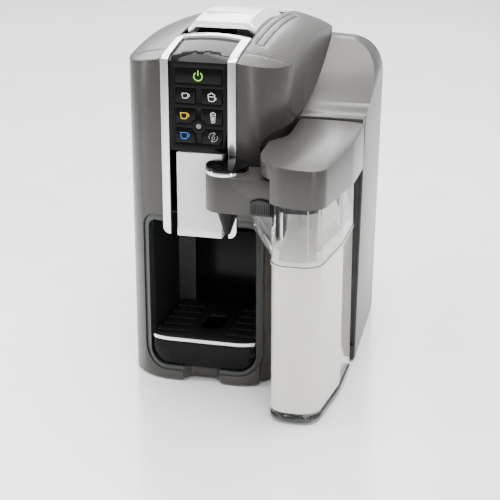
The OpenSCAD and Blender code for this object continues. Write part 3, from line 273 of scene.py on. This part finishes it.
def makeStrokeTree():  # sweeps a round section along every edge path
    tree, given = makeTree("strokes", {
        "Path": "Geometry", "Radius": "Float", "Sides": "Int", "Finish": "Material"})
    path = addNode(tree, "GeometryNodeMeshToCurve", {"Mesh": given["Path"]}).outputs["Curve"]
    section = addNode(tree, "GeometryNodeCurvePrimitiveCircle", {
        "Resolution": given["Sides"], "Radius": given["Radius"]}).outputs["Curve"]
    swept = addNode(tree, "GeometryNodeCurveToMesh", {
        "Curve": path, "Profile Curve": section, "Fill Caps": True}).outputs["Mesh"]
    smooth = addNode(tree, "GeometryNodeSetShadeSmooth", {"Geometry": swept}).outputs["Geometry"]
    endTree(tree, smooth, given["Finish"])
    return tree


def makeRepeatTree():  # sets a pattern on every point, each turned by its own angle about Y
    tree, given = makeTree("repeats", {
        "Places": "Geometry", "Pattern": "Object", "Most turn": "Float", "Seed": "Int",
        "Finish": "Material"})
    pattern = addNode(tree, "GeometryNodeObjectInfo", {"Object": given["Pattern"]})
    turn = addNode(tree, "FunctionNodeRandomValue", {
        "Min": 0.0, "Max": given["Most turn"], "Seed": given["Seed"]}, data_type="FLOAT")
    turned = addNode(tree, "ShaderNodeCombineXYZ", {"Y": turn.outputs["Value"]}).outputs["Vector"]
    placed = addNode(tree, "GeometryNodeInstanceOnPoints", {
        "Points": given["Places"], "Instance": pattern.outputs["Geometry"],
        "Rotation": turned}).outputs["Instances"]
    endTree(tree, placed, given["Finish"])
    return tree


def runTree(tree, points, edges, values):  # plain mesh that a tree makes of points and edges
    mesh = bpy.data.meshes.new("paths")
    mesh.from_pydata(points, edges, [])
    holder = bpy.data.objects.new("paths", mesh)
    bpy.context.scene.collection.objects.link(holder)
    modifier = holder.modifiers.new("tree", "NODES")
    modifier.node_group = tree
    keys = {item.name: item.identifier for item in tree.interface.items_tree
            if item.in_out == "INPUT"}
    for label, value in values.items():
        modifier[keys[label]] = value
    bpy.context.view_layer.update()
    solved = holder.evaluated_get(bpy.context.evaluated_depsgraph_get())
    made = bpy.data.meshes.new_from_object(solved)
    bpy.data.objects.remove(holder)
    return made


strokeTree = makeStrokeTree()
repeatTree = makeRepeatTree()


def arc(centre, radius, start, end, steps=16):
    turn = [math.radians(start + (end - start) * i / steps) for i in range(steps + 1)]
    return [(centre[0] + radius * math.cos(t), centre[1] + radius * math.sin(t)) for t in turn]


def pathMesh(lines, place):  # joins several lines into one list of points and edges
    points, edges = [], []
    for line in lines:
        edges += [(len(points) + i, len(points) + i + 1) for i in range(len(line) - 1)]
        points += [place(p) for p in line]
    return points, edges


# icons on the keys
def cup(width, height, lift=0.0):  # outline of a cup with its ear, in mm
    half = width / 2
    low = lift - height / 2
    top = lift + height / 2
    wall = [(-half, top), (-half * 0.8, low + 0.8)]
    wall += arc((-half * 0.8 + 0.8, low + 0.8), 0.8, 180, 270, 4)
    wall += arc((half * 0.8 - 0.8, low + 0.8), 0.8, 270, 360, 4)
    wall += [(half, top), (-half, top)]
    ear = arc((half, lift + height * 0.08), height * 0.26, 80, -80, 8)
    return [wall, ear]


def cloud(width, base, height):  # heap of foam over a cup
    third = width / 3
    return [arc((-third * 0.85, base + height * 0.2), third * 0.5, 200, 60, 8)
            + arc((0, base + height * 0.55), third * 0.55, 150, 30, 8)
            + arc((third * 0.85, base + height * 0.2), third * 0.5, 120, -20, 8)]


icons = {  # finish, stroke radius and lines of each key's print, in mm about the key's middle
    "power": ("greenInk", 0.4, [arc((0, 0), 3.5, 125, 415, 26), [(0, 0.6), (0, 4.9)]]),
    "espresso": ("whiteInk", 0.24, cup(5.2, 4.0)),
    "cappuccino": ("whiteInk", 0.24, cup(5.6, 3.8, -1.5) + cloud(6.2, 0.9, 2.6)),
    "coffee": ("yellowInk", 0.36, cup(5.8, 4.8)),
    "latte": ("whiteInk", 0.24, [[(-1.9, 1.9), (-1.3, -4.3), (1.3, -4.3), (1.9, 1.9), (-1.9, 1.9)],
                                 [(-0.6, 0.7), (-0.45, -3.0)], [(0.6, 0.7), (0.45, -3.0)]]
              + cloud(4.6, 2.2, 2.2)),
    "lungo": ("blueInk", 0.36, cup(6.2, 5.0)),
    "clean": ("greyInk", 0.22, [arc((0, 0), 3.6, 200, 60, 12), arc((0, 0), 3.6, 20, -120, 12),
                                [(0.5, 4.2), (1.9, 3.1), (0.6, 2.1)],
                                [(-0.5, -4.2), (-1.9, -3.1), (-0.6, -2.1)],
                                arc((0, -0.6), 1.2, -210, 30, 8) + [(0, 2.1), (-1.03, -0.0)]]),
}


# mm that an icon stands beside its key's middle; its strokes' axis is sunk by a share of their radius
iconPlace = {"coffee": -1.2, "lungo": -1.2, "latte": 1.2, "clean": 1.2, "sunk": 0.12}


def makeIcon(key, finish, radius, lines):
    low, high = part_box("button_" + key)
    middle = (low + high) / 2
    sideShift = iconPlace.get(key, 0)
    points, edges = pathMesh(lines, lambda p: (
        middle.x + (p[0] + sideShift) * mm, low.y + iconPlace["sunk"] * radius * mm, middle.z + p[1] * mm))
    mesh = runTree(strokeTree, points, edges, {
        "Radius": radius * mm, "Sides": 8, "Finish": finishes[finish]})
    settle(mesh, key + "Icon", "key_" + key)


for key, (finish, radius, lines) in icons.items():
    makeIcon(key, finish, radius, lines)
print("stage: icons made,", len(icons))


# screws in the rear cover
screw = {"headRadius": 3.0, "headHeight": 1.1, "socketRadius": 1.5, "socketDepth": 0.7,
         "shankRadius": 1.45, "shankLength": 7.6, "lobes": 6, "lobeDepth": 0.16,
         "rimHeight": 0.5, "seed": 3, "segments": 24}


def makeScrewPattern():  # pan head with a six-lobed socket, facing +Y, with its shank
    n = screw["segments"]
    lobe = [1 + screw["lobeDepth"] * math.cos(screw["lobes"] * 2 * math.pi * i / n) for i in range(n)]
    rings = [(0.02, -screw["shankLength"], 0), (screw["shankRadius"], -screw["shankLength"], 0),
             (screw["shankRadius"], 0.0, 0), (screw["headRadius"], 0.0, 0),
             (screw["headRadius"], screw["rimHeight"], 0), (screw["headRadius"] - 0.3, 0.9, 0),
             (screw["headRadius"] - 0.9, screw["headHeight"], 0),
             (screw["socketRadius"], screw["headHeight"], 1),
             (screw["socketRadius"] * 0.95, screw["headHeight"] - screw["socketDepth"], 1),
             (0.02, screw["headHeight"] - screw["socketDepth"], 0)]
    verts, faces = [], []
    for radius, y, lobed in rings:
        for i in range(n):
            r = radius * (lobe[i] if lobed else 1) * mm
            t = 2 * math.pi * i / n
            verts.append((r * math.cos(t), y * mm, r * math.sin(t)))
    for k in range(len(rings) - 1):
        for i in range(n):
            j = (i + 1) % n
            faces.append((k * n + i, (k + 1) * n + i, (k + 1) * n + j, k * n + j))
    faces.append(tuple(range(n)))
    faces.append(tuple(reversed(range((len(rings) - 1) * n, len(rings) * n))))
    mesh = bpy.data.meshes.new("screwPattern")
    mesh.from_pydata(verts, [], faces)
    shape = bmesh.new()
    shape.from_mesh(mesh)
    bmesh.ops.recalc_face_normals(shape, faces=shape.faces)
    shape.to_mesh(mesh)
    shape.free()
    pattern = bpy.data.objects.new("screwPattern", mesh)
    bpy.context.scene.collection.objects.link(pattern)
    return pattern


def looseParts(name):  # lowest and highest corner of each loose part of a CAD node
    shape = bmesh.new()
    shape.from_mesh(cadNodes[name].data)
    bmesh.ops.remove_doubles(shape, verts=shape.verts, dist=sharpEdge["mergeMm"] * mm)
    left, boxes = set(shape.verts), []
    while left:
        group, queue = set(), [left.pop()]
        while queue:
            vert = queue.pop()
            group.add(vert)
            for edge in vert.link_edges:
                other = edge.other_vert(vert)
                if other in left:
                    left.remove(other)
                    queue.append(other)
        places = [v.co for v in group]
        boxes.append((Vector([min(p[i] for p in places) for i in range(3)]),
                      Vector([max(p[i] for p in places) for i in range(3)])))
    shape.free()
    return sorted(boxes, key=lambda b: (round(b[0].z, 4), round(b[0].x, 4)))


def makeScrews():
    pattern = makeScrewPattern()
    points = []
    for low, high in looseParts("screws"):
        seat = high.y - screw["headHeight"] * mm
        points.append(((low.x + high.x) / 2, seat, (low.z + high.z) / 2))
    mesh = runTree(repeatTree, points, [], {
        "Pattern": pattern, "Most turn": math.pi, "Seed": screw["seed"],
        "Finish": finishes["zincPlatedSteel"]})
    bpy.data.objects.remove(pattern)
    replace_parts(settle(mesh, "rearScrews", "casing"), "screws")
    print("stage: screws made,", len(points))


makeScrews()


# milk, and the lines on the jug and the tank
jug = {"wall": 2.2, "baseOutset": 0.5, "floorHeight": 6.5, "milkHeight": 136.5,
       "waistHeight": 134.0, "waistRadius": 0.5, "edgeRise": 1.2}


def cornerArc(a, b, c, radius, steps):
    u = (Vector(a) - Vector(b)).normalized()
    v = (Vector(c) - Vector(b)).normalized()
    half = u.angle(v) / 2
    middle = Vector(b) + (u + v).normalized() * radius / math.sin(half)
    start = Vector(b) + u * radius / math.tan(half) - middle
    sweep = (Vector(b) + v * radius / math.tan(half) - middle)
    turn = math.atan2(sweep.y, sweep.x) - math.atan2(start.y, start.x)
    turn = (turn + math.pi) % (2 * math.pi) - math.pi
    first = math.atan2(start.y, start.x)
    angles = [first + turn * i / steps for i in range(steps + 1)]
    return [middle + radius * Vector((math.cos(t), math.sin(t))) for t in angles]


def jugOutline(inset, steps=10):  # plan of the jug, inset in mm, as the CAD draws it
    low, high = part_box("jug_base")
    out = jug["baseOutset"]
    x0, y0, x1, y1 = low.x / mm + out, low.y / mm + out, high.x / mm - out, high.y / mm - out
    corners = [(x0 + inset, y1 - inset, 8), (x0 + inset, y0 + inset, 15),
               (x1 - 7.5 - inset, y0 + inset, 16),
               (x1 - inset, y0 + inset + 66, 70), (x1 - inset, y1 - inset, 8)]
    line = []
    for i, (x, y, radius) in enumerate(corners):
        before, after = corners[i - 1], corners[(i + 1) % len(corners)]
        line += cornerArc(before[:2], (x, y), after[:2], radius - inset / 2, steps)
    return [(p.x, p.y) for p in line]


def makeMilk():  # body of milk with a meniscus where it meets the wall
    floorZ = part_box("jug_base")[0].z / mm
    outline = jugOutline(jug["wall"] - 0.15)
    inner = jugOutline(jug["wall"] + 2.5)
    layers = [(outline, jug["floorHeight"] + 0.05), (outline, jug["milkHeight"] + jug["edgeRise"]),
              (jugOutline(jug["wall"] + 0.6), jug["milkHeight"] + 0.4), (inner, jug["milkHeight"])]
    verts, faces, n = [], [], len(outline)
    for line, height in layers:
        verts += [(x * mm, y * mm, (floorZ + height) * mm) for x, y in line]
    for k in range(len(layers) - 1):
        faces += [(k * n + i, k * n + (i + 1) % n, (k + 1) * n + (i + 1) % n, (k + 1) * n + i)
                  for i in range(n)]
    faces += [tuple(reversed(range(n))), tuple(range((len(layers) - 1) * n, len(layers) * n))]
    mesh = bpy.data.meshes.new("milk")
    mesh.from_pydata(verts, [], faces)
    shape = bmesh.new()
    shape.from_mesh(mesh)
    bmesh.ops.recalc_face_normals(shape, faces=shape.faces)
    bmesh.ops.triangulate(shape, faces=[f for f in shape.faces if len(f.verts) > 4])
    shape.to_mesh(mesh)
    shape.free()
    # the milk's finish carries a painted glow (emission) in place of light lost through the jug
    settle(mesh, "milkFill", "jug", "wholeMilk")


def makeWaistLine():  # thin smoke-grey line round the jug's waist
    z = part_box("jug_base")[0].z + (jug["waistHeight"] + 0.5) * mm
    line = jugOutline(-0.75)
    points, edges = pathMesh([line + line[:1]], lambda p: (p[0] * mm, p[1] * mm, z))
    mesh = runTree(strokeTree, points, edges, {
        "Radius": jug["waistRadius"] * mm, "Sides": 8, "Finish": finishes["smokeRim"]})
    settle(mesh, "waistLine", "jug")


tankMarks = {"lowest": 60, "highest": 180, "step": 20, "start": 0.3, "shortEnd": 0.5,
             "longEnd": 0.7, "radius": 0.35}  # heights in mm, ends in shares of the depth


def makeTankMarks():  # raised level marks on the tank's left side
    low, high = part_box("water_tank")
    depth = (high.y - low.y) / mm
    lines = []
    for h in range(tankMarks["lowest"], tankMarks["highest"] + 1, tankMarks["step"]):
        outer = h in (tankMarks["lowest"], tankMarks["highest"])
        end = tankMarks["longEnd"] if outer else tankMarks["shortEnd"]
        lines.append([(depth * tankMarks["start"], h), (depth * end, h)])
    points, edges = pathMesh(lines, lambda p: (low.x, low.y + p[0] * mm, low.z + p[1] * mm))
    mesh = runTree(strokeTree, points, edges, {
        "Radius": tankMarks["radius"] * mm, "Sides": 6, "Finish": finishes["greyInk"]})
    settle(mesh, "tankMarks", "tank")


makeMilk()
makeWaistLine()
makeTankMarks()
print("stage: milk and lines made")


# floor, light and camera
studio = {"floorSize": 12.0, "worldHex": "f2f4f6", "lowSky": 0.7, "highSky": 1.6,
          "cameraPlace": (0.2886, -1.2241, 0.5391), "cameraTilt": 70, "cameraTurn": 14,
          "lens": 104.4}


def makeStudio():
    half = studio["floorSize"] / 2
    mesh = bpy.data.meshes.new("floor")
    mesh.from_pydata([(-half, -half, 0), (half, -half, 0), (half, half, 0), (-half, half, 0)], [],
                     [(0, 1, 2, 3)])
    floor = bpy.data.objects.new("floor", mesh)
    bpy.context.scene.collection.objects.link(floor)
    mesh.materials.append(finishes["paleTabletop"])
    world = bpy.data.worlds.new("studio")
    world.use_nodes = True
    tree = world.node_tree
    tree.nodes.clear()
    toward = addNode(tree, "ShaderNodeTexCoord").outputs["Generated"]
    height = addNode(tree, "ShaderNodeSeparateXYZ", {"Vector": toward}).outputs["Z"]
    strength = addNode(tree, "ShaderNodeMapRange", {
        "Value": height, "From Min": 0.0, "From Max": 0.8, "To Min": studio["lowSky"],
        "To Max": studio["highSky"]}).outputs["Result"]
    sky = addNode(tree, "ShaderNodeBackground", {
        "Color": linearColor(studio["worldHex"]), "Strength": strength})
    addNode(tree, "ShaderNodeOutputWorld", {"Surface": sky.outputs["Background"]})
    bpy.context.scene.world = world


def makeLight(name, place, target, size, power):
    data = bpy.data.lights.new(name, "AREA")
    data.shape = "RECTANGLE"
    data.size, data.size_y = size
    data.energy = power
    light = bpy.data.objects.new(name, data)
    light.location = place
    light.rotation_euler = (Vector(target) - Vector(place)).to_track_quat("-Z", "Y").to_euler()
    bpy.context.scene.collection.objects.link(light)


def makeCamera():
    data = bpy.data.cameras.new("camera")
    data.lens = studio["lens"]
    data.clip_end = 50
    camera = bpy.data.objects.new("camera", data)
    camera.location = studio["cameraPlace"]
    camera.rotation_euler = (math.radians(studio["cameraTilt"]), 0, math.radians(studio["cameraTurn"]))
    bpy.context.scene.collection.objects.link(camera)
    bpy.context.scene.camera = camera


lights = {  # place, target, width and height in metres, and power in watts
    "topSoftbox": ((0.1, 0.2, 1.7), (0, 0, 0.1), (1.5, 1.5), 70),
    "leftSoftbox": ((-1.5, -0.5, 0.8), (0, 0, 0.15), (0.3, 1.4), 11),
    "rightStrip": ((0.95, -1.55, 0.8), (0, 0, 0.2), (0.14, 1.5), 9),
    "rearFill": ((-0.6, 1.7, 1.2), (0, 0, 0.15), (1.2, 1.0), 24),
}
makeStudio()
for name, (place, target, size, power) in lights.items():
    makeLight(name, place, target, size, power)
makeCamera()

print("stage: studio made,", len(lights), "lights")
